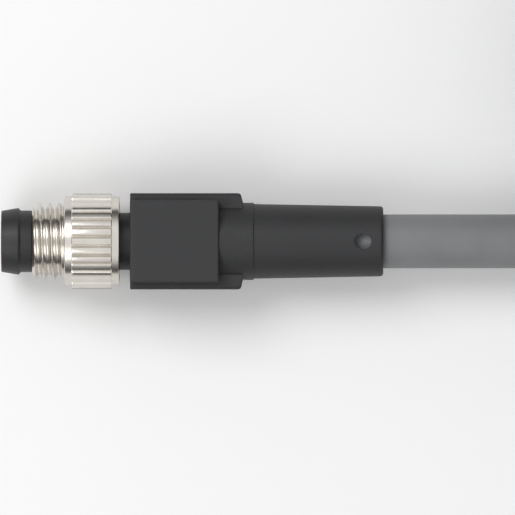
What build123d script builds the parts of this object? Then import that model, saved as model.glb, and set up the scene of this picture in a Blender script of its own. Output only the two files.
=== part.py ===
from build123d import *
import os

# Round M8 sensor plug, moulded onto a three-core cable that ends in stripped leads.
# Millimetres. The plug lies along X with its nose towards -X, and the floor is Z = 0.

# Coupling nut
thread_d = 8.0
thread_tip_d = 6.86
thread_chamfer_length = 0.374
thread_length = 2.965
collar_d = 9.322
front_collar_length = 0.784
rear_collar_length = 0.791
collar_edge_radius = 0.15
knurl_d = 9.908
knurl_length = 4.15
groove_count = 32
groove_width = 0.40
groove_depth = 0.24
nut_bore_clearance = 0.06
nut_seat_gap = 0.05
nut_end_play = 1.10

# Contact carrier: nose, barrel inside the nut, and flange held by the grip
nose_tip_d = 6.35
nose_ridge_d = 6.94
nose_cone_length = 1.77
ridge_back_length = 0.25
nose_groove_d = 6.40
nose_groove_length = 1.144
barrel_d = 5.922
chamber_d = 5.0
chamber_depth = 5.6
chamber_lead_in = 0.2
key_width = 0.9
key_height = 0.35
key_root = 0.15
key_setback = 0.6
flange_d = 6.9
flange_setback = 1.2
flange_length = 1.6
carrier_tail_length = 1.2

# Contacts
contact_angles = {"1": -30, "4": 90, "3": 210}
contact_circle_d = 2.9
pin_d = 1.0
pin_recess = 0.9
pin_tip_radius = 0.35
shank_d = 1.4
cup_d = 1.6
cup_length = 2.2
cup_bore_depth = 1.7

# Inner cores and potting
core_colours = {"1": "brown", "4": "black", "3": "blue"}
core_d = 1.25
conductor_d = 0.8
solder_gap = 0.03
core_lay_radius = 0.75
core_straight = 1.2
core_bend_radius = 1.6
core_length = 4.4
potting_d = 6.4
potting_grip_on_jacket = 5.0

# Moulded grip
label_plate_width = 8.494
label_plate_span = 8.5
label_plate_length = 9.215
plate_corner_radius = 0.30
fin_span = 10.004
fin_thickness = 4.0
fin_tip_length = 11.473
fin_end_reach = 0.385
fin_end_drop = 1.538
fin_edge_radius = 0.5
fin_corner_radius = 0.35
grip_collar_d = 8.018
grip_collar_length = 12.849
grip_collar_edge = 0.10
relief_front_d = 7.754
relief_end_d = 7.28
relief_length = 13.439
relief_end_radius = 0.33
locating_hole_d = 1.55
locating_mouth_d = 2.03
locating_mouth_angle = 128
locating_hole_setback = 2.038
locating_hole_overlap = 0.4

# Cable and the hank that holds its put-away length
cable_d = 5.6
cable_exit_run = 8.4
strand_pitch = 5.65
hank_columns = 2
hank_rows = 4
hank_fold_radius = 16.8
hank_run = 41.0
hank_left_x = 34.2
tail_run = 5.05

# Free end: three cores out of the jacket, stripped and tinned
lead_d = 1.3
bare_end_length = 6.0
lead_ledge_length = 42.0

# Ties round the hank
tie_width = 2.5
tie_thickness = 1.0
tie_setback = 1.05
tie_head_length = 4.0
tie_head_width = 4.4
tie_head_height = 3.4
tie_head_radius = 0.6
tie_stub_height = 0.8

# Stations along the plug, measured from the front face of the nose
ridge_back_end = nose_cone_length + ridge_back_length
shoulder = ridge_back_end + nose_groove_length
nut_front = shoulder + nut_seat_gap
thread_start = nut_front + thread_chamfer_length
thread_end = thread_start + thread_length
knurl_start = thread_end + front_collar_length
knurl_end = knurl_start + knurl_length
nut_end = knurl_end + rear_collar_length
grip_front = nut_end + nut_end_play
flange_start = grip_front + flange_setback
flange_end = flange_start + flange_length
carrier_end = flange_end + carrier_tail_length
cup_end = carrier_end + cup_length
jacket_start = cup_end + core_length
potting_end = jacket_start + potting_grip_on_jacket
collar_end = grip_front + grip_collar_length
plug_length = collar_end + relief_length
locating_hole = plug_length - locating_hole_setback

axis_height = knurl_d / 2
nose_x = -plug_length / 2
relief_end_x = nose_x + plug_length
plug_axis = Axis((0, 0, axis_height), (1, 0, 0))
contact_r = contact_circle_d / 2

# Places in the hank. Its near outer strands lie in line with the plug, at Y = 0, and its bottom
# strands lie on the ties.
bundle_width = strand_pitch * (hank_columns - 1) + cable_d
bundle_height = strand_pitch * (hank_rows - 1) + cable_d
hank_inner_r = hank_fold_radius - cable_d / 2
hank_outer_r = hank_inner_r + bundle_width
hank_start_x = hank_left_x + hank_outer_r
hank_end_x = hank_start_x + hank_run
hank_y = hank_outer_r - cable_d / 2
bottom_strand_z = tie_thickness + cable_d / 2
top_strand_z = bottom_strand_z + strand_pitch * (hank_rows - 1)
ledge_z = top_strand_z - strand_pitch + cable_d / 2
tail_x = hank_start_x + tail_run

# The cable's route from inside the grip into the hank's first strand
cable_route = [
    (nose_x + jacket_start, 0, axis_height),
    (relief_end_x + cable_exit_run, 0, axis_height),
    (52.3, 0, bottom_strand_z),
    (74.0, 0, bottom_strand_z),
]

# Each lead's route, from the middle of the jacket's end face
lead_routes = {
    "brown": [
        (0, -0.66, -0.38),
        (5.0, -0.70, -0.42),
        (13.5, -0.72, -2.19),
        (23.5, -0.85, -2.18),
        (32.0, -1.12, -2.18),
    ],
    "blue": [
        (0, 0.66, -0.38),
        (5.2, 0.69, -0.41),
        (13.7, 0.70, -2.19),
        (23.0, 0.78, -2.18),
        (31.4, 0.68, -2.18),
    ],
    "black": [
        (0, 0, 0.78),
        (5.1, 0.02, 0.76),
        (13.6, -0.02, -1.00),
        (23.3, -0.06, -1.08),
        (32.6, -0.30, -1.14),
    ],
}


def radial_plane(angle):
    """Plane through the plug's axis: X along it from the nose face, Y turned by angle from +Y towards +Z."""
    turned = Vector(0, 1, 0).rotate(Axis.X, angle)
    return Plane(origin=(nose_x, 0, axis_height), x_dir=(1, 0, 0), z_dir=Vector(1, 0, 0).cross(turned))


def cross_plane(station):
    """Plane square to the plug's axis at a station: X is the model's +Y and Y is its +Z."""
    return Plane(origin=(nose_x + station, 0, axis_height), x_dir=(0, 1, 0), z_dir=(1, 0, 0))


def arc_radii(points):
    """For each inner point of a route, the radius of the arc that takes 0.45 of the shorter run beside it."""
    radii = []
    for before, here, after in zip(points, points[1:], points[2:]):
        arriving = Vector(*here) - Vector(*before)
        leaving = Vector(*after) - Vector(*here)
        bisector = arriving.normalized() + leaving.normalized()
        tangent = (arriving.normalized() - leaving.normalized()).length / bisector.length
        radii.append(0.45 * min(arriving.length, leaving.length) / tangent)
    return radii


axial = radial_plane(90)
os.makedirs("parts", exist_ok=True)


# Coupling nut, turned from brass: thread, plain collar, straight knurl, plain collar
nut_bore_r = barrel_d / 2 + nut_bore_clearance
with BuildPart() as coupling_nut:
    with BuildSketch(axial):
        with BuildLine():
            Polyline(
                (nut_front, nut_bore_r),
                (nut_front, thread_tip_d / 2),
                (thread_start, thread_d / 2),
                (thread_end, thread_d / 2),
                (thread_end, collar_d / 2),
                (knurl_start, collar_d / 2),
                (knurl_start, knurl_d / 2),
                (knurl_end, knurl_d / 2),
                (knurl_end, collar_d / 2),
                (nut_end, collar_d / 2),
                (nut_end, nut_bore_r),
                close=True,
            )
        make_face()
        front_edge = vertices().sort_by_distance((thread_end, collar_d / 2))[0]
        rear_edge = vertices().sort_by_distance((nut_end, collar_d / 2))[0]
        fillet([front_edge, rear_edge], radius=collar_edge_radius)
    revolve(axis=plug_axis)
    with BuildSketch(cross_plane(knurl_start)):
        with PolarLocations(knurl_d / 2, groove_count, start_angle=180 / groove_count):
            Polygon((-groove_depth, 0), (groove_depth, -groove_width), (groove_depth, groove_width), align=None)
    extrude(amount=knurl_length, mode=Mode.SUBTRACT)
coupling_nut.part.label = "coupling_nut"
export_step(coupling_nut.part, "parts/coupling_nut.step")


# Contact carrier: snap nose, barrel that the nut turns on, and flange moulded into the grip
with BuildPart() as contact_carrier:
    with BuildSketch(axial):
        with BuildLine():
            Polyline(
                (0, chamber_d / 2 + chamber_lead_in),
                (0, nose_tip_d / 2),
                (nose_cone_length, nose_ridge_d / 2),
                (ridge_back_end, nose_groove_d / 2),
                (shoulder, nose_groove_d / 2),
                (shoulder, barrel_d / 2),
                (flange_start, barrel_d / 2),
                (flange_start, flange_d / 2),
                (flange_end, flange_d / 2),
                (flange_end, barrel_d / 2),
                (carrier_end, barrel_d / 2),
                (carrier_end, 0),
                (chamber_depth, 0),
                (chamber_depth, chamber_d / 2),
                (chamber_lead_in, chamber_d / 2),
                close=True,
            )
        make_face()
    revolve(axis=plug_axis)
    with BuildSketch(cross_plane(key_setback)):
        with Locations((0, -chamber_d / 2 - key_root)):
            Rectangle(key_width, key_root + key_height, align=(Align.CENTER, Align.MIN))
    extrude(amount=chamber_depth - key_setback)
    with BuildSketch(cross_plane(chamber_depth)):
        for angle in contact_angles.values():
            with PolarLocations(contact_r, 1, start_angle=angle):
                Circle(shank_d / 2)
    extrude(amount=carrier_end - chamber_depth, mode=Mode.SUBTRACT)
contact_carrier.part.label = "contact_carrier"
export_step(contact_carrier.part, "parts/contact_carrier.step")


# Contact pins: round tip in the chamber, thicker shank in the carrier, solder cup behind it
cup_bore_r = conductor_d / 2 + solder_gap
for number, angle in contact_angles.items():
    pin_axis = Axis(radial_plane(angle).from_local_coords((0, contact_r, 0)), (1, 0, 0))
    with BuildPart() as contact_pin:
        with BuildSketch(radial_plane(angle)):
            with BuildLine():
                Polyline(
                    (pin_recess, contact_r),
                    (pin_recess, contact_r + pin_d / 2),
                    (chamber_depth, contact_r + pin_d / 2),
                    (chamber_depth, contact_r + shank_d / 2),
                    (carrier_end, contact_r + shank_d / 2),
                    (carrier_end, contact_r + cup_d / 2),
                    (cup_end, contact_r + cup_d / 2),
                    (cup_end, contact_r + cup_bore_r),
                    (cup_end - cup_bore_depth, contact_r + cup_bore_r),
                    (cup_end - cup_bore_depth, contact_r),
                    close=True,
                )
            make_face()
            tip_edge = vertices().sort_by_distance((pin_recess, contact_r + pin_d / 2))[0]
            fillet(tip_edge, radius=pin_tip_radius)
        revolve(axis=pin_axis)
    contact_pin.part.label = "contact_pin_" + number
    export_step(contact_pin.part, "parts/contact_pin_" + number + ".step")


# Cores inside the plug, from the solder cups to the jacket's end
inner_cores = []
for number, angle in contact_angles.items():
    with BuildPart() as inner_core:
        with BuildLine(radial_plane(angle)):
            FilletPolyline(
                (cup_end, contact_r),
                (cup_end + core_straight, contact_r),
                (jacket_start - core_straight, core_lay_radius),
                (jacket_start, core_lay_radius),
                radius=core_bend_radius,
            )
        with BuildSketch(cross_plane(cup_end)):
            with PolarLocations(contact_r, 1, start_angle=angle):
                Circle(core_d / 2)
        sweep()
        with BuildSketch(cross_plane(cup_end - cup_bore_depth)):
            with PolarLocations(contact_r, 1, start_angle=angle):
                Circle(conductor_d / 2)
        extrude(amount=cup_bore_depth)
    inner_core.part.label = "inner_core_" + core_colours[number]
    export_step(inner_core.part, "parts/inner_core_" + core_colours[number] + ".step")
    inner_cores.append(inner_core.part)


# Potting that holds the solder joints and the end of the jacket
with BuildPart() as potting:
    with BuildSketch(cross_plane(carrier_end)):
        Circle(potting_d / 2)
    extrude(amount=potting_end - carrier_end)
    with BuildSketch(cross_plane(carrier_end)):
        for angle in contact_angles.values():
            with PolarLocations(contact_r, 1, start_angle=angle):
                Circle(cup_d / 2)
    extrude(amount=cup_length, mode=Mode.SUBTRACT)
    with BuildSketch(cross_plane(jacket_start)):
        Circle(cable_d / 2)
    extrude(amount=potting_grip_on_jacket, mode=Mode.SUBTRACT)
    add(inner_cores, mode=Mode.SUBTRACT)
potting.part.label = "potting"
export_step(potting.part, "parts/potting.step")


# Grip, one moulding: two fins, two label plates, round collar and tapered strain relief
fin_end_length = fin_end_reach * fin_span / 2 / fin_end_drop
with BuildPart() as grip_body:
    with BuildSketch(cross_plane(grip_front)):
        RectangleRounded(fin_span, fin_thickness, fin_edge_radius)
    extrude(amount=fin_tip_length + fin_end_length)
    with BuildSketch(Plane(origin=(nose_x + grip_front, 0, axis_height))):
        Polygon(
            (0, -fin_span / 2),
            (fin_tip_length, -fin_span / 2),
            (fin_tip_length + fin_end_length, 0),
            (fin_tip_length, fin_span / 2),
            (0, fin_span / 2),
            align=None,
        )
        fin_tips = vertices().group_by(Axis.X)[1]
        fillet(fin_tips, radius=fin_corner_radius)
    extrude(amount=fin_thickness / 2, both=True, mode=Mode.INTERSECT)
    with BuildSketch(Plane(origin=(nose_x + grip_front, 0, axis_height))):
        Rectangle(label_plate_length, label_plate_width, align=(Align.MIN, Align.CENTER))
        rear_corners = vertices().group_by(Axis.X)[-1]
        fillet(rear_corners, radius=plate_corner_radius)
    extrude(amount=label_plate_span / 2, both=True)
    with BuildSketch(axial):
        with BuildLine():
            Polyline(
                (grip_front, 0),
                (grip_front, grip_collar_d / 2),
                (collar_end, grip_collar_d / 2),
                (collar_end, relief_front_d / 2),
                (plug_length, relief_end_d / 2),
                (plug_length, 0),
                close=True,
            )
        make_face()
        fillet(vertices().sort_by_distance((collar_end, grip_collar_d / 2))[0], radius=grip_collar_edge)
        fillet(vertices().sort_by_distance((plug_length, relief_end_d / 2))[0], radius=relief_end_radius)
    revolve(axis=plug_axis)
    with BuildSketch(axial):
        with BuildLine():
            Polyline(
                (grip_front, 0),
                (grip_front, barrel_d / 2),
                (flange_start, barrel_d / 2),
                (flange_start, flange_d / 2),
                (flange_end, flange_d / 2),
                (flange_end, barrel_d / 2),
                (carrier_end, barrel_d / 2),
                (carrier_end, potting_d / 2),
                (potting_end, potting_d / 2),
                (potting_end, cable_d / 2),
                (plug_length, cable_d / 2),
                (plug_length, 0),
                close=True,
            )
        make_face()
    revolve(axis=plug_axis, mode=Mode.SUBTRACT)
    relief_rise = (relief_front_d - relief_end_d) / 2 * locating_hole_setback / relief_length
    locating_hole_z = relief_end_d / 2 + relief_rise
    for side in (1, -1):
        mouth = Plane(
            origin=(nose_x + locating_hole, 0, axis_height + side * locating_hole_z),
            x_dir=(1, 0, 0),
            z_dir=(0, 0, side),
        )
        with Locations(mouth):
            CounterSinkHole(
                radius=locating_hole_d / 2,
                counter_sink_radius=locating_mouth_d / 2,
                counter_sink_angle=locating_mouth_angle,
                depth=locating_hole_z - cable_d / 2 + locating_hole_overlap,
            )
grip_body.part.label = "grip_body"
export_step(grip_body.part, "parts/grip_body.step")


# Cable, from its end in the potting to the first strand of the hank
cable_radii = arc_radii(cable_route)
with BuildPart() as cable:
    with BuildLine():
        cable_path = FilletPolyline(*cable_route, radius=cable_radii)
    with BuildSketch(cross_plane(jacket_start)):
        Circle(cable_d / 2)
    sweep()
cable.part.label = "cable"
export_step(cable.part, "parts/cable.step")
swept_volume = Circle(cable_d / 2).area * cable_path.length
print("cable radii", [round(radius, 1) for radius in cable_radii])
print("cable length", round(cable_path.length, 2), "volume ratio", round(cable.part.volume / swept_volume, 4))


# Hank: the cable's put-away turns as one solid of their outer shape, with a ledge for the leads
with BuildPart() as cable_hank:
    with BuildSketch(Plane(origin=(hank_start_x + hank_run / 2, hank_y, tie_thickness))):
        SlotCenterToCenter(hank_run, 2 * hank_outer_r)
        SlotCenterToCenter(hank_run, 2 * hank_inner_r, mode=Mode.SUBTRACT)
    extrude(amount=bundle_height)
    fillet(faces().filter_by(Axis.Z).edges(), radius=cable_d / 2)
    with BuildSketch(Plane(origin=(tail_x, strand_pitch / 2, ledge_z))):
        Rectangle(lead_ledge_length, strand_pitch, align=(Align.MIN, Align.MAX))
    extrude(amount=strand_pitch, mode=Mode.SUBTRACT)
cable_hank.part.label = "cable_hank"
export_step(cable_hank.part, "parts/cable_hank.step")


# Leads: the three insulated cores that leave the jacket, each with a tinned end
for colour, steps in lead_routes.items():
    lead_route = [(tail_x + x, y, top_strand_z + z) for x, y, z in steps]
    lead_radii = arc_radii(lead_route)
    print("lead", colour, "radii", [round(radius, 1) for radius in lead_radii])
    with BuildPart() as lead:
        with BuildLine():
            lead_path = FilletPolyline(*lead_route, radius=lead_radii)
        with BuildSketch(Plane(origin=lead_path @ 0, z_dir=lead_path % 0)):
            Circle(lead_d / 2)
        sweep()
    lead.part.label = "lead_" + colour
    export_step(lead.part, "parts/lead_" + colour + ".step")
    with BuildPart() as bare_end:
        with BuildSketch(Plane(origin=lead_path @ 1, z_dir=lead_path % 1)):
            Circle(conductor_d / 2)
        extrude(amount=bare_end_length)
    bare_end.part.label = "bare_end_" + colour
    export_step(bare_end.part, "parts/bare_end_" + colour + ".step")


# Ties: a band round each straight run of the hank, closed by a head on top
bundle_y = strand_pitch * (hank_columns - 1) / 2
bundle_middle_z = tie_thickness + bundle_height / 2
bundle_top_z = tie_thickness + bundle_height
tie_places = {
    "hank_tie_near": (hank_start_x + tie_setback, bundle_y),
    "hank_tie_far": (hank_end_x - tie_setback - tie_width, 2 * hank_y - bundle_y),
}
for name, (tie_x, tie_y) in tie_places.items():
    with BuildPart() as hank_tie:
        with BuildSketch(Plane(origin=(tie_x, tie_y, bundle_middle_z), x_dir=(0, 1, 0), z_dir=(1, 0, 0))):
            RectangleRounded(
                bundle_width + 2 * tie_thickness,
                bundle_height + 2 * tie_thickness,
                cable_d / 2 + tie_thickness,
            )
            RectangleRounded(bundle_width, bundle_height, cable_d / 2, mode=Mode.SUBTRACT)
        extrude(amount=tie_width)
        with BuildSketch(Plane(origin=(tie_x + tie_width / 2, tie_y, bundle_top_z))):
            RectangleRounded(tie_head_width, tie_head_length, tie_head_radius)
        extrude(amount=tie_head_height)
        with BuildSketch(Plane(origin=(tie_x + tie_width / 2, tie_y, bundle_top_z + tie_head_height))):
            Rectangle(tie_width, tie_thickness)
        extrude(amount=tie_stub_height)
    hank_tie.part.label = name
    export_step(hank_tie.part, "parts/" + name + ".step")
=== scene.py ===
import math

import bmesh
import bpy
import numpy as np
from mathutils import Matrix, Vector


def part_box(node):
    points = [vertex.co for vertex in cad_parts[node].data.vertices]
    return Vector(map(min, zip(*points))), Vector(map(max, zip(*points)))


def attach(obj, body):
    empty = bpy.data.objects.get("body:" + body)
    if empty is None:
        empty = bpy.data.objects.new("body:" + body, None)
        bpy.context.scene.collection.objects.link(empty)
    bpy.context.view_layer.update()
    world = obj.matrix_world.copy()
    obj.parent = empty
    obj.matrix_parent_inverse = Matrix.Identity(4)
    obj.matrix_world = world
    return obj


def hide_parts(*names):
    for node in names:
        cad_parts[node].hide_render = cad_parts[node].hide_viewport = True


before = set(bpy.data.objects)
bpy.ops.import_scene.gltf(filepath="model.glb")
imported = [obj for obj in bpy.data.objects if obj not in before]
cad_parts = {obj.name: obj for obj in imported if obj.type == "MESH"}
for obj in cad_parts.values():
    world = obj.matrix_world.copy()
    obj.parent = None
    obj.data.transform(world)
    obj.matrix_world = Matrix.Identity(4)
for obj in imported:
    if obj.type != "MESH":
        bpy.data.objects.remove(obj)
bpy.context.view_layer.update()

MM = 0.001


# Camera.
# It looks straight down on the plug, nose to the left, as the drawing does.
# A very long lens keeps the view as flat as the drawing's.
# The picture's side and the plug's place in it are in pixels, lens and sensor in millimetres.
PICTURE_SIDE, PIXELS_PER_MM = 515, 9.6225
NOSE_COLUMN, AXIS_ROW = 1.48, 241.33
LENS, SENSOR = 1000, 36
nose_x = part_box("contact_carrier")[0].x
nut_low, nut_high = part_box("coupling_nut")
axis_z = (nut_low.z + nut_high.z) / 2
pixel = MM / PIXELS_PER_MM
view_x = nose_x + (PICTURE_SIDE / 2 - NOSE_COLUMN) * pixel
view_y = (AXIS_ROW - PICTURE_SIDE / 2) * pixel
view_height = PICTURE_SIDE * pixel * LENS / SENSOR

camera_data = bpy.data.cameras.new("camera")
camera_data.lens, camera_data.sensor_width = LENS, SENSOR
camera = bpy.data.objects.new("camera", camera_data)
camera.location = (view_x, view_y, axis_z + view_height)
bpy.context.scene.collection.objects.link(camera)
bpy.context.scene.camera = camera
bpy.context.scene.view_settings.view_transform = "Standard"


# Cable ties.
# Two ties of natural nylon hold the put-away cable, one round each straight run of the hank.
# Each strap comes up through a square head on top, and its tail is cut off just above it.
STRAP_WIDTH, STRAP_THICKNESS, STRAP_EDGE, STRAP_BEND = 2.5, 1.0, 0.2, 3.3
HEAD_WIDTH, HEAD_LENGTH, HEAD_HEIGHT, HEAD_CORNER, HEAD_EDGE = 4.4, 4.0, 3.4, 0.6, 0.3
HEAD_FOOT_DRAW, HEAD_FOOT_HEIGHT = 0.35, 0.9
WELL_WIDTH, WELL_LENGTH, WELL_DEPTH, WELL_CORNER, WELL_DRAFT = 3.1, 1.7, 0.6, 0.12, 0.12
TAIL_HEIGHT, TAIL_EDGE = 0.8, 0.04
CORNER_STEPS, BEND_STEPS, EDGE_STEPS = 5, 12, 6
WELD_DISTANCE, SLIVER_LENGTH = 0.0005, 0.0003
TIE_NATURAL = (0.70, 0.69, 0.63)


class Value:
    """A socket of a node tree, or what a node gives. Arithmetic on it adds Math nodes."""

    def __init__(self, nodes, socket):
        self.nodes, self.socket = nodes, socket

    def math(self, operation, *terms):
        return self.nodes.add("ShaderNodeMath", {"operation": operation}, dict(enumerate(terms)))

    def __add__(self, other):
        return self.math("ADD", self, other)

    def __rsub__(self, other):
        return self.math("SUBTRACT", other, self)

    def __mul__(self, other):
        return self.math("MULTIPLY", self, other)

    __radd__ = __add__
    __rmul__ = __mul__


class Nodes:
    """A node tree. add() makes a node of a type, gives it its settings, fills its inputs by name or
    number with plain values or other nodes' values, and returns one of its outputs."""

    def __init__(self, tree):
        self.tree = tree

    def add(self, kind, settings, inputs, output=0):
        node = self.tree.nodes.new(kind)
        for name, setting in settings.items():
            setattr(node, name, setting)
        self.fill(node, inputs)
        return Value(self, node.outputs[output])

    def fill(self, node, inputs):
        for name, value in inputs.items():
            if isinstance(value, Value):
                self.tree.links.new(value.socket, node.inputs[name])
            else:
                node.inputs[name].default_value = value

    def noise(self, scale, detail=2.0, stretch=(1, 1, 1)):
        """Smooth random values about one half, with scale as lumps in a metre of the object's own
        frame. A stretch under 1 along an axis makes the lumps longer that way."""
        point = self.add("ShaderNodeTexCoord", {}, {}, "Object")
        point = self.add("ShaderNodeMapping", {}, {"Vector": point, "Scale": stretch})
        return self.add("ShaderNodeTexNoise", {}, {"Vector": point, "Scale": scale, "Detail": detail})

    def blend(self, share, first, second):
        """A colour between two others."""
        return self.add("ShaderNodeMix", {"data_type": "RGBA"}, {"Factor": share, 6: first, 7: second}, 2)

    def relief(self, height, depth):
        """A surface that rises by height times depth, in metres."""
        return self.add("ShaderNodeBump", {}, {"Height": height, "Distance": depth})


def finish(name, fixed, varied):
    """A material. fixed holds the shader's values that are the same all over, and varied is a
    function of the node tree that gives those that change from place to place."""
    material = bpy.data.materials.new(name)
    material.use_nodes = True
    nodes = Nodes(material.node_tree)
    shader = material.node_tree.nodes["Principled BSDF"]
    nodes.fill(shader, fixed)
    nodes.fill(shader, varied(nodes))
    return material


def tones(colour, darkest, lightest):
    """Two colours about the given one, a darker and a lighter."""
    return [(*(np.array(colour) * shade), 1.0) for shade in (darkest, lightest)]


def nylon_tie_texture(nodes):
    """Natural nylon: milky, with a soft sheen and small moulding ripples."""
    cloud = nodes.noise(500)
    ripple = nodes.noise(4500)
    return {
        "Base Color": nodes.blend(cloud, *tones(TIE_NATURAL, 0.88, 1.08)),
        "Roughness": 0.26 + 0.22 * cloud,
        "Normal": nodes.relief(ripple, 0.00002),
    }


def box_mm(node):
    """The low and the high corner of a solid's box, in millimetres."""
    return [np.array(corner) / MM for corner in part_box(node)]


def shell(name, grids, material, crease, seam=False):
    """A closed mesh from grids of points in millimetres. A grid's rows follow a closed profile and
    its columns go round it, so both ways close on themselves. Rows that shrink to one point are
    merged there, and edges that turn by more than crease degrees stay sharp. With a seam, the last
    column lies on the first and is merged with it, but the rows needn't be level there."""
    solid = bmesh.new()
    for points in grids:
        index = np.arange(points[..., 0].size).reshape(points.shape[:2])
        beside, above = np.roll(index, -1, 1), np.roll(index, -1, 0)
        faces = np.stack([index, beside, np.roll(above, -1, 1), above], -1)
        if seam:
            faces = faces[:, :-1]
        grid = bpy.data.meshes.new("grid")
        grid.from_pydata(points.reshape(-1, 3) * MM, [], faces.reshape(-1, 4))
        solid.from_mesh(grid)
        bpy.data.meshes.remove(grid)
    bmesh.ops.remove_doubles(solid, verts=solid.verts, dist=WELD_DISTANCE * MM)
    bmesh.ops.dissolve_degenerate(solid, edges=solid.edges, dist=SLIVER_LENGTH * MM)
    bmesh.ops.delete(solid, geom=[edge for edge in solid.edges if not edge.link_faces], context="EDGES")
    bmesh.ops.recalc_face_normals(solid, faces=solid.faces)
    mesh = bpy.data.meshes.new(name)
    solid.to_mesh(mesh)
    solid.free()
    mesh.materials.append(material)
    mesh.polygons.foreach_set("use_smooth", np.ones(len(mesh.polygons), bool))
    mesh.set_sharp_from_angle(angle=math.radians(crease))
    piece = bpy.data.objects.new(name, mesh)
    bpy.context.scene.collection.objects.link(piece)
    return piece


def round_corners(half_width, half_height, corner, steps):
    """The points of a rounded rectangle and the direction that each faces, as four arrays: a
    quarter circle about each corner's centre. Sizes may be columns, one value for each row."""
    quadrant = np.repeat([0, 1, 2, 3], steps)
    angle = np.radians(90 * quadrant + np.tile(np.linspace(0, 90, steps), 4))
    right = np.where((quadrant == 0) | (quadrant == 3), 1, -1)
    top = np.where(quadrant < 2, 1, -1)
    across, up = np.cos(angle), np.sin(angle)
    return (
        right * (half_width - corner) + corner * across,
        top * (half_height - corner) + corner * up, across, up,
    )


def strap_round(centre, half_width, half_height):
    """A strap as a closed band: its rounded section is carried along a rounded rectangle that
    stands across the cable, and faces outwards all the way."""
    section_x, section_out = round_corners(
        STRAP_WIDTH / 2, STRAP_THICKNESS / 2, STRAP_EDGE, CORNER_STEPS,
    )[:2]
    path_y, path_z, face_y, face_z = round_corners(half_width, half_height, STRAP_BEND, BEND_STEPS)
    y = centre[1] + path_y[:, None] + np.outer(face_y, section_out)
    z = centre[2] + path_z[:, None] + np.outer(face_z, section_out)
    return np.stack([centre[0] + section_x + 0 * y, y, z], -1)


def stacked(foot, rows):
    """A closed surface of rounded rectangles stacked on a foot. Each row gives its half width along
    X, its half length along Y, its corner radius and its height."""
    half_x, half_y, corner, height = np.array(rows, float).T[..., None]
    x, y = round_corners(half_x, half_y, corner, CORNER_STEPS)[:2]
    return np.array(foot) + np.stack([x, y, height + 0 * x], -1)


tie_finish = finish("tie_nylon", {}, nylon_tie_texture)
half_x, half_y = HEAD_WIDTH / 2, HEAD_LENGTH / 2
quarter_turn = np.linspace(0, math.pi / 2, EDGE_STEPS)
head_rows = [
    (0, 0, 0, 0),
    (half_x - HEAD_FOOT_DRAW, half_y - HEAD_FOOT_DRAW, HEAD_CORNER, 0),
    (half_x, half_y, HEAD_CORNER, HEAD_FOOT_HEIGHT),
    *[(
        half_x - HEAD_EDGE * (1 - math.cos(turn)), half_y - HEAD_EDGE * (1 - math.cos(turn)),
        HEAD_CORNER, HEAD_HEIGHT - HEAD_EDGE * (1 - math.sin(turn)),
    ) for turn in quarter_turn],
    (WELL_WIDTH / 2, WELL_LENGTH / 2, WELL_CORNER, HEAD_HEIGHT),
    (WELL_WIDTH / 2 - WELL_DRAFT, WELL_LENGTH / 2 - WELL_DRAFT, WELL_CORNER, HEAD_HEIGHT - WELL_DEPTH),
    (0, 0, 0, HEAD_HEIGHT - WELL_DEPTH),
]
tail_foot, tail_top = HEAD_HEIGHT - 2 * WELL_DEPTH, HEAD_HEIGHT + TAIL_HEIGHT
tail_half_x, tail_half_y = STRAP_WIDTH / 2, STRAP_THICKNESS / 2
tail_rows = [
    (0, 0, 0, tail_foot),
    (tail_half_x, tail_half_y, STRAP_EDGE, tail_foot),
    (tail_half_x, tail_half_y, STRAP_EDGE, tail_top - TAIL_EDGE),
    (tail_half_x - TAIL_EDGE, tail_half_y - TAIL_EDGE, STRAP_EDGE - TAIL_EDGE, tail_top),
    (0, 0, 0, tail_top),
]
for place in ("near", "far"):
    low, high = box_mm("hank_tie_" + place)
    middle = (low + high) / 2
    head_foot = high[2] - tail_top
    band_half_y = (high[1] - low[1] - STRAP_THICKNESS) / 2
    band_half_z = (head_foot - low[2]) / 2
    band_middle = (middle[0], middle[1], low[2] + STRAP_THICKNESS / 2 + band_half_z)
    foot = (middle[0], middle[1], head_foot)
    strap = strap_round(band_middle, band_half_y, band_half_z)
    head, tail = stacked(foot, head_rows), stacked(foot, tail_rows)
    tie = shell("tie_" + place, [strap, head, tail], tie_finish, crease=28)
    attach(tie, "plug")
    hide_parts("hank_tie_" + place)


# Cable.
# Round jacket of matt polyurethane, 5.6 mm thick and 1.48 m long outside the plug.
# It leaves the strain relief straight, comes down beside the hank and goes round in it.
CABLE_D, CABLE_LENGTH = 5.6, 1480
CABLE_ROUTE = [
    (4.145, 0, 4.954),
    (20.0, 0, 4.954),
    (28.233, 0, 4.954),
    (52.3, 0, 3.8),
    (74.0, 0, 3.8),
]
CABLE_TAIL = [(60.5, 0, 20.75), (64.5, 0, 20.75)]
STRAND_PITCH, HANK_ROWS = 5.65, 4
CROSSING_LENGTH, CROSSING_LAG = 48.0, 16.0
STRAIGHT_POINTS, ARC_POINTS = 6, 10
JACKET_BORE_R, JACKET_EDGE, BORE_EDGE = 1.80, 0.12, 0.06
MOUTH_LENGTH, MOUTH_OVERLAP, MOUTH_PROUD, MOUTH_COLUMNS = 1.3, 0.25, 0.004, 72
JACKET_GREY = (0.20, 0.205, 0.21)

cable_r = CABLE_D / 2
hank_low, hank_high = box_mm("cable_hank")
outer_r = (hank_high[1] - hank_low[1]) / 2 - cable_r
inner_r = outer_r - STRAND_PITCH
hank_left_x = hank_low[0] + cable_r + outer_r
hank_right_x = hank_high[0] - cable_r - outer_r
hank_y = hank_low[1] + cable_r + outer_r
row_z = np.linspace(hank_low[2] + cable_r, hank_high[2] - cable_r, HANK_ROWS)
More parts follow.
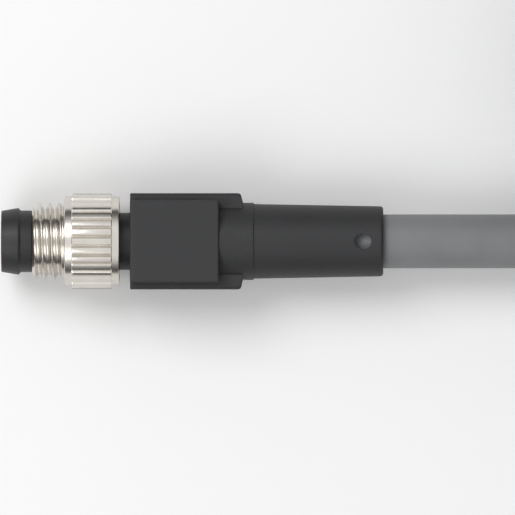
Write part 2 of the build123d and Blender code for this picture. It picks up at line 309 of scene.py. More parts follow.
# Each turn lies in one slot of the hank's section, and the next turn in the next slot.
slots = np.array([
    (outer_r, row_z[0]), (inner_r, row_z[0]), (inner_r, row_z[1]), (outer_r, row_z[1]),
    (outer_r, row_z[2]), (inner_r, row_z[2]), (inner_r, row_z[3]), (outer_r, row_z[3]),
])


def jacket_texture(nodes):
    """Extruded matt jacket: a fine orange-peel skin, faint cloudy tone and slightly glossier patches."""
    skin = nodes.noise(5200, 3)
    cloud = nodes.noise(260)
    return {
        "Base Color": nodes.blend(cloud, *tones(JACKET_GREY, 0.88, 1.10)),
        "Roughness": 0.44 + 0.16 * cloud + 0.06 * skin,
        "Normal": nodes.relief(skin, 0.00003),
    }


def loop_stations():
    """One turn's control points before their column and row are known: the x of each point's centre,
    its angle about that centre, how far it is pushed out so that the curve keeps the radius, and
    its distance along the middle of the loop, over lower run, right arc, upper run and left arc."""
    run = hank_right_x - hank_left_x
    arc = math.pi * (outer_r + inner_r) / 2
    on_run = (np.arange(STRAIGHT_POINTS) + 0.5) / STRAIGHT_POINTS
    on_arc = (np.arange(ARC_POINTS) + 0.5) / ARC_POINTS
    counts = [STRAIGHT_POINTS, ARC_POINTS, STRAIGHT_POINTS, ARC_POINTS]
    centre_x = np.repeat([hank_left_x, hank_right_x, hank_right_x, hank_left_x], counts)
    centre_x += np.concatenate([run * on_run, 0 * on_arc, -run * on_run, 0 * on_arc])
    angle = np.repeat([-90.0, -90.0, 90.0, 90.0], counts)
    angle += np.concatenate([0 * on_run, 180 * on_arc, 0 * on_run, 180 * on_arc])
    push = np.repeat([1, 1 / math.cos(math.pi / ARC_POINTS / 2)] * 2, counts)
    along = np.repeat([0, run, run + arc, 2 * run + arc], counts)
    along += np.concatenate([run * on_run, arc * on_arc, run * on_run, arc * on_arc])
    return centre_x, np.radians(angle), push, along


def hank_turn(number):
    """Control points of one turn. It leaves its own slot after the lower run and eases over into
    the next one by a half cosine. Later turns cross first, so that each finds its slot empty."""
    centre_x, angle, push, along = loop_stations()
    start = hank_right_x - hank_left_x + CROSSING_LAG * (len(slots) - 2 - number)
    crossed = (1 - np.cos(np.pi * np.clip((along - start) / CROSSING_LENGTH, 0, 1))) / 2
    radius, height = (slots[number] + np.outer(crossed, slots[number + 1] - slots[number])).T
    x = centre_x + radius * push * np.cos(angle)
    y = hank_y + radius * push * np.sin(angle)
    return np.stack([x, y, height], axis=1)


def round_cord(name, points, diameter, sides, steps, material):
    """A round cord on a smooth spline whose control points are the given ones, in millimetres."""
    data = bpy.data.curves.new(name, "CURVE")
    data.dimensions = "3D"
    data.bevel_depth = diameter / 2 * MM
    data.bevel_resolution = (sides - 4) // 2
    data.use_fill_caps = True
    data.materials.append(material)
    spline = data.splines.new("NURBS")
    spline.points.add(len(points) - 1)
    spline.points.foreach_set("co", np.hstack([np.array(points) * MM, np.ones((len(points), 1))]).ravel())
    spline.order_u = 3
    spline.use_endpoint_u = True
    spline.resolution_u = steps
    spline.use_smooth = True
    piece = bpy.data.objects.new(name, data)
    bpy.context.scene.collection.objects.link(piece)
    return piece


def eased(profile, steps=5):
    """A profile as dense points: each corner (along, across, radius) becomes an arc of that radius,
    which touches both of its sides at the same distance from the corner."""
    corners = np.array(profile, float)
    dense = []
    for before, here, after in zip(np.roll(corners, 1, 0), corners, np.roll(corners, -1, 0)):
        if here[2] == 0:
            dense.append(here[:2])
            continue
        arriving = (here - before)[:2] / np.linalg.norm((here - before)[:2])
        leaving = (after - here)[:2] / np.linalg.norm((after - here)[:2])
        half_turn = math.acos(np.clip(arriving @ leaving, -1, 1)) / 2
        inward = (leaving - arriving) / np.linalg.norm(leaving - arriving)
        forward = (leaving + arriving) / np.linalg.norm(leaving + arriving)
        centre = here[:2] + inward * here[2] / math.cos(half_turn)
        swing = np.linspace(-half_turn, half_turn, steps)[:, None]
        dense.extend(centre + here[2] * (np.sin(swing) * forward - np.cos(swing) * inward))
    return np.array(dense)


def turned(origin, along, radius, angle):
    """A surface round the line along X through origin, from each point's distance along the line,
    its distance from it and its angle from +Y towards +Z."""
    along, radius, angle = np.broadcast_arrays(along, radius, angle)
    return np.array(origin) + np.stack([along, radius * np.cos(angle), radius * np.sin(angle)], -1)


jacket_finish = finish("cable_jacket", {"Specular IOR Level": 0.42}, jacket_texture)
turns = [hank_turn(number) for number in range(len(slots) - 1)]
passed_by_route = (np.arange(len(turns[0])) < STRAIGHT_POINTS) & (turns[0][:, 0] < CABLE_ROUTE[-1][0])
turns[0] = turns[0][~passed_by_route]
cable_points = [*CABLE_ROUTE, *np.concatenate(turns), *CABLE_TAIL]
cable = round_cord("cable_jacket", cable_points, CABLE_D, sides=36, steps=5, material=jacket_finish)

# The jacket's cut end: its wall stands a little past the filling that the three cores come out of.
mouth_r = cable_r + MOUTH_PROUD
mouth_profile = eased([
    (-MOUTH_OVERLAP, mouth_r, 0), (MOUTH_LENGTH, mouth_r, JACKET_EDGE),
    (MOUTH_LENGTH, JACKET_BORE_R, BORE_EDGE), (-MOUTH_OVERLAP, JACKET_BORE_R, 0),
])
around_mouth = np.linspace(0, 2 * np.pi, MOUTH_COLUMNS, endpoint=False)
mouth_surface = turned(CABLE_TAIL[-1], *mouth_profile.T[..., None], around_mouth)
jacket_mouth = shell("jacket_cut_end", [mouth_surface], jacket_finish, crease=35)
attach(jacket_mouth, "plug")
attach(cable, "plug")
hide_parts("cable", "cable_hank")


# Leads.
# Three cores in brown, blue and black insulation leave the jacket's end and lie on the turn below.
# Each is 1.3 mm thick and 32 mm long, and 6 mm of its twisted copper is stripped and tinned.
LEAD_D, LEAD_LENGTH = 1.3, 32
LEAD_ROUTES = {
    "brown": [
        (0, -0.66, -0.38), (5.0, -0.70, -0.42),
        (13.5, -0.72, -2.19), (23.5, -0.85, -2.18), (32.0, -1.12, -2.18),
    ],
    "blue": [
        (0, 0.66, -0.38), (5.2, 0.69, -0.41),
        (13.7, 0.70, -2.19), (23.0, 0.78, -2.18), (31.4, 0.68, -2.18),
    ],
    "black": [
        (0, 0, 0.78), (5.1, 0.02, 0.76),
        (13.6, -0.02, -1.00), (23.3, -0.06, -1.08), (32.6, -0.30, -1.14),
    ],
}
CORE_COLOURS = {"brown": (0.16, 0.062, 0.022), "blue": (0.022, 0.105, 0.40), "black": (0.018, 0.018, 0.020)}
BARE_R, BARE_LENGTH, BARE_DOME = 0.4, 6.0, 0.3
STRANDS, STRAND_LAY, STRAND_DEPTH, BARE_COLUMNS, BARE_ROWS = 7, 9.0, 0.14, 56, 49
TIN = (0.62, 0.62, 0.60)


def insulation_texture(colour):
    """Smooth extruded insulation with a slight waviness and a faint change of tone."""
    def varied(nodes):
        wave = nodes.noise(1500, stretch=(0.3, 1, 1))
        return {
            "Base Color": nodes.blend(wave, *tones(colour, 0.86, 1.14)),
            "Roughness": 0.30 + 0.14 * wave,
            "Normal": nodes.relief(wave, 0.00003),
        }
    return varied


def tin_texture(nodes):
    """Solder-dipped copper: bright, uneven and a little dull in its hollows."""
    flow = nodes.noise(3200, 3, stretch=(0.4, 1, 1))
    return {
        "Base Color": nodes.blend(flow, *tones(TIN, 0.75, 1.15)),
        "Roughness": 0.18 + 0.24 * flow,
        "Normal": nodes.relief(flow, 0.000012),
    }


def strands_from(start, ahead):
    """A twisted bundle from start on along ahead: its radius rises and falls once for each strand
    round it, this pattern turns with the distance, and the far end closes in a quarter circle."""
    around = np.linspace(0, 2 * np.pi, BARE_COLUMNS, endpoint=False)
    along = np.linspace(0, BARE_LENGTH, BARE_ROWS)[:, None]
    domed = np.sqrt(1 - np.clip((along - BARE_LENGTH + BARE_DOME) / BARE_DOME, 0, 1) ** 2)
    bulge = np.abs(np.cos(STRANDS / 2 * (around - 2 * np.pi * along / STRAND_LAY)))
    radius = BARE_R * (1 - STRAND_DEPTH + STRAND_DEPTH * bulge) * domed
    radius[0] = 0
    sideways = np.cross([0, 0, 1.0], ahead)
    sideways /= np.linalg.norm(sideways)
    upwards = np.cross(ahead, sideways)
    round_it = np.cos(around)[:, None] * sideways + np.sin(around)[:, None] * upwards
    return start + along[..., None] * ahead + radius[..., None] * round_it


tin_finish = finish("tinned_copper", {"Metallic": 1.0}, tin_texture)
core_finishes = {
    colour: finish("insulation_" + colour, {}, insulation_texture(tint))
    for colour, tint in CORE_COLOURS.items()
}
for colour, steps in LEAD_ROUTES.items():
    points = np.array(steps) + CABLE_TAIL[-1]
    ahead = (points[-1] - points[-2]) / np.linalg.norm(points[-1] - points[-2])
    bare = shell("stripped_end_" + colour, [strands_from(points[-1], ahead)], tin_finish, crease=60)
    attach(bare, "plug")
    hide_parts("bare_end_" + colour)
    lead = round_cord("core_" + colour, points, LEAD_D, sides=20, steps=12, material=core_finishes[colour])
    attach(lead, "plug")
    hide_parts("lead_" + colour)


# Contact carrier.
# One moulding of black glass-filled nylon: snap nose, barrel under the nut, and flange in the grip.
# The key rib in its open chamber lets the socket in at one angle only.
NOSE_R, RIDGE_R, GROOVE_R, BARREL_R, FLANGE_R = 3.175, 3.47, 3.20, 2.961, 3.45
CONE_LENGTH, RIDGE_BACK, GROOVE_LENGTH = 1.77, 0.25, 1.144
FLANGE_LENGTH, CARRIER_TAIL = 1.6, 1.2
NOSE_EDGE, RIDGE_EDGE, GROOVE_EDGE, SHOULDER_EDGE, FLANGE_EDGE = 0.08, 0.12, 0.06, 0.03, 0.05
CHAMBER_R, CHAMBER_MOUTH_R, CHAMBER_LEAD_IN, CHAMBER_DEPTH = 2.5, 2.70, 0.2, 5.6
CHAMBER_MOUTH_EDGE, CHAMBER_FLOOR_EDGE = 0.05, 0.12
KEY_START, KEY_HEIGHT, KEY_HALF_WIDTH, KEY_ANGLE = 0.6, 0.35, 0.45, math.radians(270)
COLUMN_DEGREES = 3.0
# A hair's breadth: the leeway when places are compared, and the space between the key's columns.
HAIR = 0.001
CARRIER_BLACK = (0.016, 0.016, 0.017)


def carrier_texture(nodes):
    """Glass-filled nylon straight from the mould: a dull grain with faint lighter streaks."""
    grain = nodes.noise(9000, 4)
    streak = nodes.noise(2600, 3, stretch=(0.25, 1, 1))
    return {
        "Base Color": nodes.blend(streak, *tones(CARRIER_BLACK, 0.70, 1.5)),
        "Roughness": 0.36 + 0.20 * streak + 0.08 * grain,
        "Normal": nodes.relief(grain, 0.000012),
    }


def stations(node):
    """Where a piece starts and ends along the plug, in millimetres behind the nose's front face."""
    low, high = box_mm(node)
    return low[0] - plug_origin[0], high[0] - plug_origin[0]


plug_origin = (nose_x / MM, 0, axis_z / MM)
ridge_end = CONE_LENGTH + RIDGE_BACK
shoulder = ridge_end + GROOVE_LENGTH
carrier_end = stations("contact_carrier")[1]
flange_end = carrier_end - CARRIER_TAIL
flange_start = flange_end - FLANGE_LENGTH
carrier_profile = eased([
    (0, CHAMBER_MOUTH_R, CHAMBER_MOUTH_EDGE), (0, NOSE_R, NOSE_EDGE),
    (CONE_LENGTH, RIDGE_R, RIDGE_EDGE), (ridge_end, GROOVE_R, GROOVE_EDGE),
    (shoulder, GROOVE_R, SHOULDER_EDGE), (shoulder, BARREL_R, 0),
    (flange_start, BARREL_R, 0), (flange_start, FLANGE_R, FLANGE_EDGE),
    (flange_end, FLANGE_R, FLANGE_EDGE), (flange_end, BARREL_R, 0),
    (carrier_end, BARREL_R, FLANGE_EDGE), (carrier_end, 0, 0), (CHAMBER_DEPTH, 0, 0),
    (CHAMBER_DEPTH, CHAMBER_R, CHAMBER_FLOOR_EDGE),
    (KEY_START + HAIR, CHAMBER_R, 0), (KEY_START, CHAMBER_R, 0),
    (CHAMBER_LEAD_IN, CHAMBER_R, CHAMBER_MOUTH_EDGE),
])
# Two columns a hair apart stand at each side of the key rib.
key_edge = math.asin(KEY_HALF_WIDTH / CHAMBER_R)
key_columns = KEY_ANGLE + key_edge * np.array([-1 - HAIR, HAIR - 1, 1 - HAIR, 1 + HAIR])
around_carrier = np.sort(np.concatenate([np.radians(np.arange(0, 360, COLUMN_DEGREES)), key_columns]))
# The key rib: inside the chamber and between its two sides, the wall is flat and stands higher.
along, radius = carrier_profile.T[..., None]
from_key = np.abs(around_carrier - KEY_ANGLE)
in_chamber = (along > KEY_START) & (along < CHAMBER_DEPTH + HAIR) & (radius < CHAMBER_R + HAIR)
rib_top = (CHAMBER_R - KEY_HEIGHT) / np.cos(from_key)
carrier_r = np.where(in_chamber & (from_key < key_edge), np.minimum(radius, rib_top), radius)
carrier_surface = turned(plug_origin, along, carrier_r, around_carrier)
carrier_finish = finish("carrier_plastic", {"Specular IOR Level": 0.42}, carrier_texture)
carrier = shell("contact_carrier_moulding", [carrier_surface], carrier_finish, crease=32)
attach(carrier, "plug")
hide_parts("contact_carrier")


# Contacts.
# Three turned pins with round tips, gold over brass, pressed into the carrier from behind.
# Their cups at the back take the stripped cores.
CONTACT_CIRCLE_R = 1.45
CONTACT_ANGLES = {"1": -30, "4": 90, "3": 210}
PIN_R, PIN_TIP_R, SHANK_R, SHANK_EDGE = 0.5, 0.35, 0.7, 0.03
CUP_R, CUP_BORE_R, CUP_BORE_DEPTH = 0.8, 0.43, 1.7
CUP_FRONT_EDGE, CUP_REAR_EDGE, CUP_MOUTH_EDGE = 0.05, 0.08, 0.05
PIN_COLUMNS = 32
GOLD = (0.86, 0.60, 0.20)


def gold_texture(nodes):
    """Thin bright gold with turning lines and slightly redder patches."""
    lathe = nodes.noise(1, stretch=(50000, 2000, 2000))
    cloud = nodes.noise(1500)
    return {
        "Base Color": nodes.blend(cloud, *tones(GOLD, 0.86, 1.08)),
        "Roughness": 0.16 + 0.14 * cloud,
        "Normal": nodes.relief(lathe, 0.0000015),
    }


gold_finish = finish("gold_contact", {"Metallic": 1.0}, gold_texture)
pin_tip, cup_end = stations("contact_pin_1")
cup_floor = cup_end - CUP_BORE_DEPTH
pin_profile = eased([
    (pin_tip, 0, 0), (pin_tip, PIN_R, PIN_TIP_R),
    (CHAMBER_DEPTH, PIN_R, 0), (CHAMBER_DEPTH, SHANK_R, SHANK_EDGE), (carrier_end, SHANK_R, 0),
    (carrier_end, CUP_R, CUP_FRONT_EDGE), (cup_end, CUP_R, CUP_REAR_EDGE),
    (cup_end, CUP_BORE_R, CUP_MOUTH_EDGE), (cup_floor, CUP_BORE_R, 0), (cup_floor, 0, 0),
], steps=7)
around_pin = np.linspace(0, 2 * np.pi, PIN_COLUMNS, endpoint=False)
for number, degrees in CONTACT_ANGLES.items():
    angle = math.radians(degrees)
    pin_origin = plug_origin + CONTACT_CIRCLE_R * np.array([0, math.cos(angle), math.sin(angle)])
    pin_surface = turned(pin_origin, *pin_profile.T[..., None], around_pin)
    pin = shell("pin_" + number, [pin_surface], gold_finish, crease=32)
    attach(pin, "plug")
    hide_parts("contact_pin_" + number)


# Inner cores and potting.
# Inside the grip the cores run from the solder cups to the jacket, set in hard resin.
# Nothing of them shows from outside, so the solids themselves are kept.
RESIN = (0.62, 0.58, 0.46)


def resin_texture(nodes):
    """Cast resin: cloudy, with small bubbles."""
    cloud = nodes.noise(700, 3)
    bubble = nodes.noise(5200, 1)
    return {
        "Base Color": nodes.blend(cloud, *tones(RESIN, 0.85, 1.1)),
        "Roughness": 0.25 + 0.2 * bubble,
        "Normal": nodes.relief(bubble, 0.00002),
    }


def dress(node, material):
    """Gives a solid that is kept as it is its one material."""
    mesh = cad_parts[node].data
    mesh.materials.clear()
    mesh.materials.append(material)


dress("potting", finish("potting_resin", {}, resin_texture))
for colour, material in core_finishes.items():
    dress("inner_core_" + colour, material)


# Coupling nut.
# One turning of nickel-plated brass: M8 x 1 thread, two plain collars and a straight knurl between.
# It turns on the carrier's barrel, and the carrier's shoulder keeps it from coming off.
CHAMFER_LENGTH, THREAD_LENGTH, FRONT_COLLAR, REAR_COLLAR = 0.374, 2.965, 0.784, 0.791
THREAD_R, THREAD_ROOT_R, THREAD_TIP_R, PITCH = 4.0, 3.381, 3.43, 1.0
HALF_CREST, HALF_ROOT, ROOT_DEPTH, CREST_ROUNDING = 0.05, 0.12, 0.05, 0.045
FLANK_SLOPE = math.tan(math.radians(60))
# The thread starts on a chamfer and fades before the collar, and leaves a fine rim at both ends.
CHAMFER_ROWS, TIP_EDGE, TIP_RUN = 20, 0.04, 0.05
THREAD_FADE, THREAD_FOOT, FOOT_RUN, RIM_LEFT = 0.42, 0.05, 0.06, 0.01
COLLAR_R, KNURL_R, NUT_BORE_R = 4.661, 4.954, 3.021
COLLAR_EDGE, KNURL_EDGE, KNURL_FOOT, NUT_BORE_EDGE = 0.14, 0.10, 0.03, 0.12
GROOVES, GROOVE_DEPTH, GROOVE_HALF_WIDTH, CROWN_DROP = 32, 0.24, 0.21, 0.03
GROOVE_COLUMNS, TOOTH_COLUMNS = 5, (0.1, 0.37, 0.68)
NICKEL = (0.66, 0.63, 0.58)


def joined(first, second, rounding):
    """The larger of two distances, with a rounding of the given size where they cross."""
    near_crossing = np.clip(rounding - np.abs(first - second), 0, None)
    return np.maximum(first, second) + near_crossing**2 / (4 * rounding)


def thread_cut(station, angle):
    """How deep a 60 degree right-hand thread lies under its crest: nothing on the crest's flat, an
    even slope down each flank, a rounded root, and less towards the collar, where it runs out."""
    turn = (station / PITCH - angle / (2 * np.pi)) % 1
    from_root = np.abs(turn - 0.5) * PITCH
    flank = joined((PITCH / 2 - HALF_CREST - from_root) * FLANK_SLOPE, 0, CREST_ROUNDING)
    root = THREAD_R - THREAD_ROOT_R - ROOT_DEPTH * np.clip(from_root / HALF_ROOT, 0, 1) ** 2
    return np.minimum(flank, root) * np.clip((thread_end - station) / THREAD_FADE, 0, 1)


def knurl_cut(angle):
    """How deep the knurl lies under its crowns: a straight V groove in the middle of each spacing,
    and a slight fall of each tooth's top towards its grooves."""
    spacing = 2 * np.pi / GROOVES
    across = np.abs(angle % spacing - spacing / 2)
    groove = np.clip(1 - across * KNURL_R / GROOVE_HALF_WIDTH, 0, 1) * GROOVE_DEPTH
    return groove + CROWN_DROP * (1 - 2 * across / spacing) ** 2


def nickel_texture(nodes):
    """Bright nickel over turned brass: fine tool lines round the axis, soft stains and small pits."""
    lathe = nodes.noise(1, 3, stretch=(60000, 900, 900))
    cloud = nodes.noise(420, 3)
    speck = nodes.noise(15000)
    return {
        "Base Color": nodes.blend(cloud, *tones(NICKEL, 0.88, 1.08)),
        "Roughness": 0.12 + 0.10 * cloud + 0.12 * speck * lathe,
        "Normal": nodes.relief(0.7 * lathe + 0.3 * speck, 0.0000022),
    }


# Each spacing of the knurl has its columns closest where its groove is.
half_spacing, half_groove = np.pi / GROOVES, GROOVE_HALF_WIDTH / KNURL_R
on_groove = half_groove * np.linspace(-1, 1, GROOVE_COLUMNS)
on_tooth = half_groove + (half_spacing - half_groove) * np.array(TOOTH_COLUMNS)
columns = np.concatenate([[-half_spacing], -on_tooth[::-1], on_groove, on_tooth])
groove_places = half_spacing * (2 * np.arange(GROOVES) + 1)
around_nut = np.append(np.add.outer(groove_places, columns), 2 * np.pi)

nut_front, nut_end = stations("coupling_nut")
thread_start = nut_front + CHAMFER_LENGTH
thread_end = thread_start + THREAD_LENGTH
thread_to = thread_end - FOOT_RUN
knurl_start, knurl_end = thread_end + FRONT_COLLAR, nut_end - REAR_COLLAR
# The thread's rows follow it round, so that its crest and root are clean lines. Each lies at one
# place of the thread's profile, and goes one pitch along in a turn, between the thread's two ends.
round_half = CREST_ROUNDING / FLANK_SLOPE
half_pitch = np.concatenate([
    [0], np.linspace(HALF_CREST - round_half, HALF_CREST + round_half, 4),
    np.linspace(HALF_CREST + round_half, PITCH / 2 - HALF_ROOT, 4)[1:-1],
    np.linspace(PITCH / 2 - HALF_ROOT, PITCH / 2, 4),
])
one_pitch = np.concatenate([half_pitch, PITCH - half_pitch[-2:0:-1]])
thread_rows = np.add.outer(PITCH * np.arange(thread_to // PITCH + 1), one_pitch).ravel()
thread_rows = thread_rows[(thread_rows > thread_start - PITCH) & (thread_rows < thread_to)]
thread_along = np.clip(np.add.outer(thread_rows, PITCH * around_nut / (2 * np.pi)), thread_start, thread_to)
chamfer_rows = np.linspace(nut_front + TIP_RUN, thread_start, CHAMFER_ROWS)
chamfer_r = np.interp(chamfer_rows, [nut_front, thread_start], [THREAD_TIP_R, THREAD_R])
rest_profile = eased([
    (thread_to, THREAD_R, 0), (thread_end, THREAD_R, THREAD_FOOT), (thread_end, COLLAR_R, COLLAR_EDGE),
    (knurl_start, COLLAR_R, KNURL_FOOT), (knurl_start, KNURL_R, KNURL_EDGE),
    (knurl_end, KNURL_R, KNURL_EDGE), (knurl_end, COLLAR_R, KNURL_FOOT),
    (nut_end, COLLAR_R, COLLAR_EDGE), (nut_end, NUT_BORE_R, NUT_BORE_EDGE),
    (nut_front + NUT_BORE_EDGE, NUT_BORE_R, 0), (nut_front, NUT_BORE_R + NUT_BORE_EDGE, 0),
    (nut_front, THREAD_TIP_R, TIP_EDGE),
    *[(row, radius, 0) for row, radius in zip(chamfer_rows, chamfer_r)],
])
along = np.concatenate([thread_along, rest_profile[:, :1] + 0 * around_nut])
radius = np.concatenate([THREAD_R + 0 * thread_along, rest_profile[:, 1:] + 0 * around_nut])
on_outside = radius > NUT_BORE_R + NUT_BORE_EDGE + HAIR
on_thread = on_outside & (along > nut_front + RIM_LEFT) & (along < thread_end - RIM_LEFT)
on_knurl = (radius > COLLAR_R + KNURL_FOOT + HAIR) & (along > thread_end)
cut_r = np.where(on_thread, THREAD_R - thread_cut(along, around_nut), KNURL_R - knurl_cut(around_nut))
nut_r = np.where(on_thread | on_knurl, np.minimum(radius, cut_r), radius)
nickel_finish = finish("nickel_plated_brass", {"Metallic": 1.0}, nickel_texture)
nut_surface = turned(plug_origin, along, nut_r, around_nut)
coupling_nut = shell("knurled_nut", [nut_surface], nickel_finish, crease=28, seam=True)
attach(coupling_nut, "nut")
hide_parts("coupling_nut")


# Moulded grip.
# One moulding of matt black elastomer over carrier, potting and cable: square label plates, a fin
# on each side, a round collar, and the tapered strain relief with a locating hole on each side.
PLATE_LENGTH, PLATE_HALF_Y, PLATE_EDGE, PLATE_CORNER = 9.215, 4.247, 0.16, 0.30
FIN_TIP_LENGTH, FIN_END_REACH, FIN_END_DROP = 11.473, 0.385, 1.538
FIN_HALF, FIN_EDGE, FIN_CORNER = 2.0, 0.5, 0.35
BODY_LENGTH, BODY_R, RELIEF_FRONT_R, RELIEF_END_R, RELIEF_EDGE = 12.849, 4.009, 3.877, 3.640, 0.33
FRONT_EDGE, FRONT_RIM, STEP_EDGE, SEAM_FILLET = 0.12, 0.3, 0.10, 0.10
POTTING_R = 3.2
HOLE_SETBACK, HOLE_R, MOUTH_R, MOUTH_ANGLE = 2.038, 0.775, 1.015, 128
CUTTER_FROM, CUTTER_TO = 2.2, 4.2
# Where the outside's rows lie: the first one's place and the step, along the plates, the body with
# its fins, and the last of the collar. Drawn in by PLATES_GONE, the plates are inside the body.
SIDE_START, SIDE_STEP, BODY_START, BODY_STEP, COLLAR_STEP, ROW_GAP = 0.6, 0.9, 0.3, 0.5, 0.2, 0.1
PLATE_FACE_ROWS, PLATES_GONE, FIN_END_ROWS, RELIEF_ROWS, RELIEF_GAP = 6, 1.3, 14, 24, 0.3
HOLE_COLUMNS = 48
NEVER_ZERO = 1e-12
GRIP_BLACK = (0.022, 0.0225, 0.024)

grip_low, grip_high = box_mm("grip_body")
fin_reach = grip_high[1]
plate_half_z = (grip_high[2] - grip_low[2]) / 2
grip_front, plug_end = stations("grip_body")
potting_end = stations("potting")[1]
plate_end, collar_end = grip_front + PLATE_LENGTH, grip_front + BODY_LENGTH
fin_tip_end = grip_front + FIN_TIP_LENGTH
fin_foot = fin_tip_end + FIN_END_REACH


def bar_reach(angle, half_y, half_z, corner):
    """Distance from the axis to the edge of a rounded bar section, by angle: a flat side where the
    ray leaves through one, and the corner's circle where it leaves between them."""
    along_y, along_z = np.abs(np.cos(angle)) + NEVER_ZERO, np.abs(np.sin(angle)) + NEVER_ZERO
    through_y, through_z = half_y / along_y, half_z / along_z
    centre_y, centre_z = half_y - corner, half_z - corner
    along = centre_y * along_y + centre_z * along_z
    across = centre_y * along_z - centre_z * along_y
    through_corner = along + np.sqrt(np.maximum(corner**2 - across**2, 0))
    leaves_side = through_y * along_z <= centre_z
    leaves_top = through_z * along_y <= centre_y
    return np.where(leaves_side, through_y, np.where(leaves_top, through_z, through_corner))


def round_off(station, end, radius):
    """How far a side has drawn in at a station before an end face, on a quarter circle."""
    return radius - np.sqrt(radius**2 - np.clip(station - (end - radius), 0, radius) ** 2)


def grip_reach(station, angle, front_in, plate_in):
    """How far the grip reaches from its axis: plates and fins joined to the round body. front_in
    draws all of it in, at the front edge, and plate_in draws in the plates alone."""
    plate_y = PLATE_HALF_Y - round_off(station, plate_end, PLATE_CORNER) - plate_in - front_in
    plate_z = plate_half_z - round_off(station, plate_end, PLATE_EDGE) - plate_in - front_in
    fin_y = np.interp(station, *fin_side.T) - front_in
    body = BODY_R - round_off(station, collar_end, STEP_EDGE) - front_in
    plates = bar_reach(angle, plate_y, plate_z, PLATE_EDGE)
    fins = bar_reach(angle, fin_y, FIN_HALF - front_in, FIN_EDGE)
    return joined(joined(body, plates, SEAM_FILLET), fins, SEAM_FILLET)


def elastomer_texture(nodes):
    """Spark-eroded mould skin: a fine dull grain, worn a little smoother in broad patches."""
    grain = nodes.noise(5000, 3)
    patch = nodes.noise(240, 3)
    return {
        "Base Color": nodes.blend(patch, *tones(GRIP_BLACK, 0.80, 1.25)),
        "Roughness": 0.42 + 0.14 * patch + 0.10 * grain,
        "Normal": nodes.relief(grain, 0.00004),
    }


def drill(piece, cutter, crease):
    """Takes a cutter's volume out of a piece, deletes the cutter and sets the sharp edges again."""
    cut = piece.modifiers.new("cut", "BOOLEAN")
    cut.operation, cut.solver, cut.object = "DIFFERENCE", "EXACT", cutter
    mesh = bpy.data.meshes.new_from_object(piece.evaluated_get(bpy.context.evaluated_depsgraph_get()))
    piece.modifiers.clear()
    piece.data = mesh
    bpy.data.objects.remove(cutter)
    mesh.set_sharp_from_angle(angle=math.radians(crease))


fin_side = eased([
    (grip_front, fin_reach, 0), (fin_tip_end, fin_reach, FIN_CORNER), (fin_foot, fin_reach - FIN_END_DROP, 0),
], steps=9)
# Columns lie closest where the fins' and the plates' corners are.
quarter = np.concatenate([
    np.arange(0, 15, 1.5), np.arange(15, 31, 0.5), np.arange(31, 42.5, 1.0),
    np.arange(42.5, 47.5, 0.25), np.arange(47.5, 72, 1.75), np.arange(72, 90, 1.5),
])
half = np.concatenate([quarter, [90], 180 - quarter[:0:-1]])
around_grip = np.radians(np.concatenate([half, half + 180]))

edge_in, edge_along = 1 - np.sin(quarter_turn), 1 - np.cos(quarter_turn)
side_rows = np.sort(np.concatenate([
    np.arange(grip_front + SIDE_START, plate_end - PLATE_CORNER, SIDE_STEP),
    plate_end - PLATE_CORNER * edge_in, plate_end - PLATE_EDGE * edge_in[:-1],
]))
fin_rows = fin_side[1:-1, 0]
body_rows = np.concatenate([
    np.arange(plate_end + BODY_START, fin_rows[0] - ROW_GAP, BODY_STEP), fin_rows,
    np.linspace(fin_rows[-1], fin_foot, FIN_END_ROWS)[1:],
    np.arange(fin_foot + ROW_GAP, collar_end - STEP_EDGE - ROW_GAP / 2, COLLAR_STEP),
    collar_end - STEP_EDGE * edge_in,
])
# Each row of the outside: its station, how far the front edge draws it in, and how far the plates are.
outside_rows = np.concatenate([
    np.stack([grip_front + FRONT_EDGE * edge_along, FRONT_EDGE * edge_in, 0 * edge_in], -1),
    [(row, 0, 0) for row in side_rows],
    [(plate_end, 0, draw) for draw in np.linspace(0, PLATES_GONE, PLATE_FACE_ROWS)[1:]],
    [(row, 0, PLATES_GONE) for row in body_rows],
])
station, front_in, plate_in = outside_rows.T[..., None]
outside_r = grip_reach(station, around_grip, front_in, plate_in)
relief_rows = np.linspace(collar_end + RELIEF_GAP, plug_end - RELIEF_EDGE - RELIEF_GAP, RELIEF_ROWS)
relief_r = np.interp(relief_rows, [collar_end, plug_end], [RELIEF_FRONT_R, RELIEF_END_R])
rest_profile = eased([
    (collar_end, RELIEF_FRONT_R, 0), *[(row, radius, 0) for row, radius in zip(relief_rows, relief_r)],
    (plug_end, RELIEF_END_R, RELIEF_EDGE), (plug_end, cable_r, 0), (potting_end, cable_r, 0),
    (potting_end, POTTING_R, 0), (carrier_end, POTTING_R, 0), (carrier_end, BARREL_R, 0),
    (flange_end, BARREL_R, 0), (flange_end, FLANGE_R, 0), (flange_start, FLANGE_R, 0),
    (flange_start, BARREL_R, 0), (grip_front, BARREL_R, 0), (grip_front, BARREL_R + FRONT_RIM, 0),
], steps=9)
along = np.concatenate([station, rest_profile[:, :1]])
grip_r = np.concatenate([outside_r, rest_profile[:, 1:] + 0 * around_grip])
grip_finish = finish("grip_elastomer", {"Specular IOR Level": 0.38}, elastomer_texture)
grip = shell("moulded_grip", [turned(plug_origin, along, grip_r, around_grip)], grip_finish, crease=24)

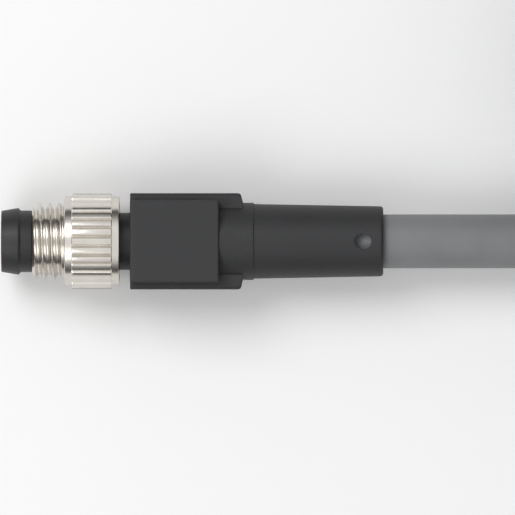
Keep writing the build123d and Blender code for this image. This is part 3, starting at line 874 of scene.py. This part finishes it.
# The locating holes: straight down to the jacket, with a wide flat cone at the mouth.
hole_at = plug_end - HOLE_SETBACK
hole_top = np.interp(hole_at, [collar_end, plug_end], [RELIEF_FRONT_R, RELIEF_END_R])
cone_slope = math.tan(math.radians(MOUTH_ANGLE / 2))
cone_foot = hole_top - (MOUTH_R - HOLE_R) / cone_slope
cutter_profile = np.array([
    (CUTTER_FROM, 0), (CUTTER_FROM, HOLE_R), (cone_foot, HOLE_R),
    (CUTTER_TO, HOLE_R + (CUTTER_TO - cone_foot) * cone_slope), (CUTTER_TO, 0),
])
around_hole = np.linspace(0, 2 * np.pi, HOLE_COLUMNS, endpoint=False)
# One cutter is turned about X and then stood up along Z, and the other is its mirror image below.
height, hole_x, hole_y = np.moveaxis(turned((0, 0, 0), *cutter_profile.T[..., None], around_hole), -1, 0)
upper, lower = [
    plug_origin + np.stack([hole_at + hole_x, hole_y, side * height], -1) for side in (1, -1)
]
drill(grip, shell("hole_cutter", [upper, lower], grip_finish, crease=24), crease=24)
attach(grip, "plug")
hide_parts("grip_body")


# Floor and light.
# A pale floor without a seam, a large soft lamp behind and to the left, a weaker one in front,
# and an even sky that the camera and the metal see as a white ceiling over a dark rim.
FLOOR_REACH = 6.0
FLOOR_PALE = (0.95, 0.95, 0.95)
# Each lamp's place and size in metres, and its power in watts.
LAMPS = {
    "key_lamp": ((-0.24, 0.26, 0.46), 0.34, 1.45),
    "fill_lamp": ((-0.26, -0.28, 0.42), 0.36, 0.85),
}
SKY_LEVEL = 0.50
RIM_LEVEL, RIM_TOP, CEILING_FROM = 0.10, 0.20, 0.80


def floor_texture(nodes):
    """Seamless paper: a very faint mottle."""
    mottle = nodes.noise(90)
    return {
        "Base Color": nodes.blend(mottle, *tones(FLOOR_PALE, 0.995, 1.005)),
        "Roughness": 0.9 + 0.05 * mottle,
    }


def soft_lamp(name, place, size, power):
    """A round lamp that faces the plug."""
    data = bpy.data.lights.new(name, "AREA")
    data.shape, data.size, data.energy = "DISK", size, power
    lamp = bpy.data.objects.new(name, data)
    lamp.location = place
    lamp.rotation_mode = "QUATERNION"
    lamp.rotation_quaternion = lamp.location.to_track_quat("Z", "Y")
    bpy.context.scene.collection.objects.link(lamp)


floor_mesh = bpy.data.meshes.new("floor")
corners = FLOOR_REACH * np.array([(-1, -1, 0), (1, -1, 0), (1, 1, 0), (-1, 1, 0)])
floor_mesh.from_pydata(corners, [], [(0, 1, 2, 3)])
floor_mesh.materials.append(finish("pale_floor", {"Specular IOR Level": 0.2}, floor_texture))
floor = bpy.data.objects.new("floor", floor_mesh)
bpy.context.scene.collection.objects.link(floor)
for name, (place, size, power) in LAMPS.items():
    soft_lamp(name, place, size, power)

world = bpy.data.worlds.new("sky")
world.use_nodes = True
sky = Nodes(world.node_tree)
direction = sky.add("ShaderNodeTexCoord", {}, {}, "Generated")
upward = sky.add("ShaderNodeSeparateXYZ", {}, {"Vector": direction}, "Z")
ray_kinds = ("Is Camera Ray", "Is Glossy Ray", "Is Transmission Ray")
seen, mirrored, through = [sky.add("ShaderNodeLightPath", {}, {}, kind) for kind in ray_kinds]
ceiling = sky.add("ShaderNodeMapRange", {"interpolation_type": "SMOOTHSTEP"}, {
    "Value": upward, "From Min": RIM_TOP, "From Max": CEILING_FROM, "To Min": RIM_LEVEL, "To Max": 1.0,
})
# A ray through glass counts twice, so the sum is held at 1.
shown = sky.add("ShaderNodeMath", {"operation": "ADD", "use_clamp": True}, {0: seen + mirrored, 1: through})
level = shown * ceiling + (1 - shown) * SKY_LEVEL
sky.fill(world.node_tree.nodes["Background"], {"Color": (1, 1, 1, 1), "Strength": level})
bpy.context.scene.world = world
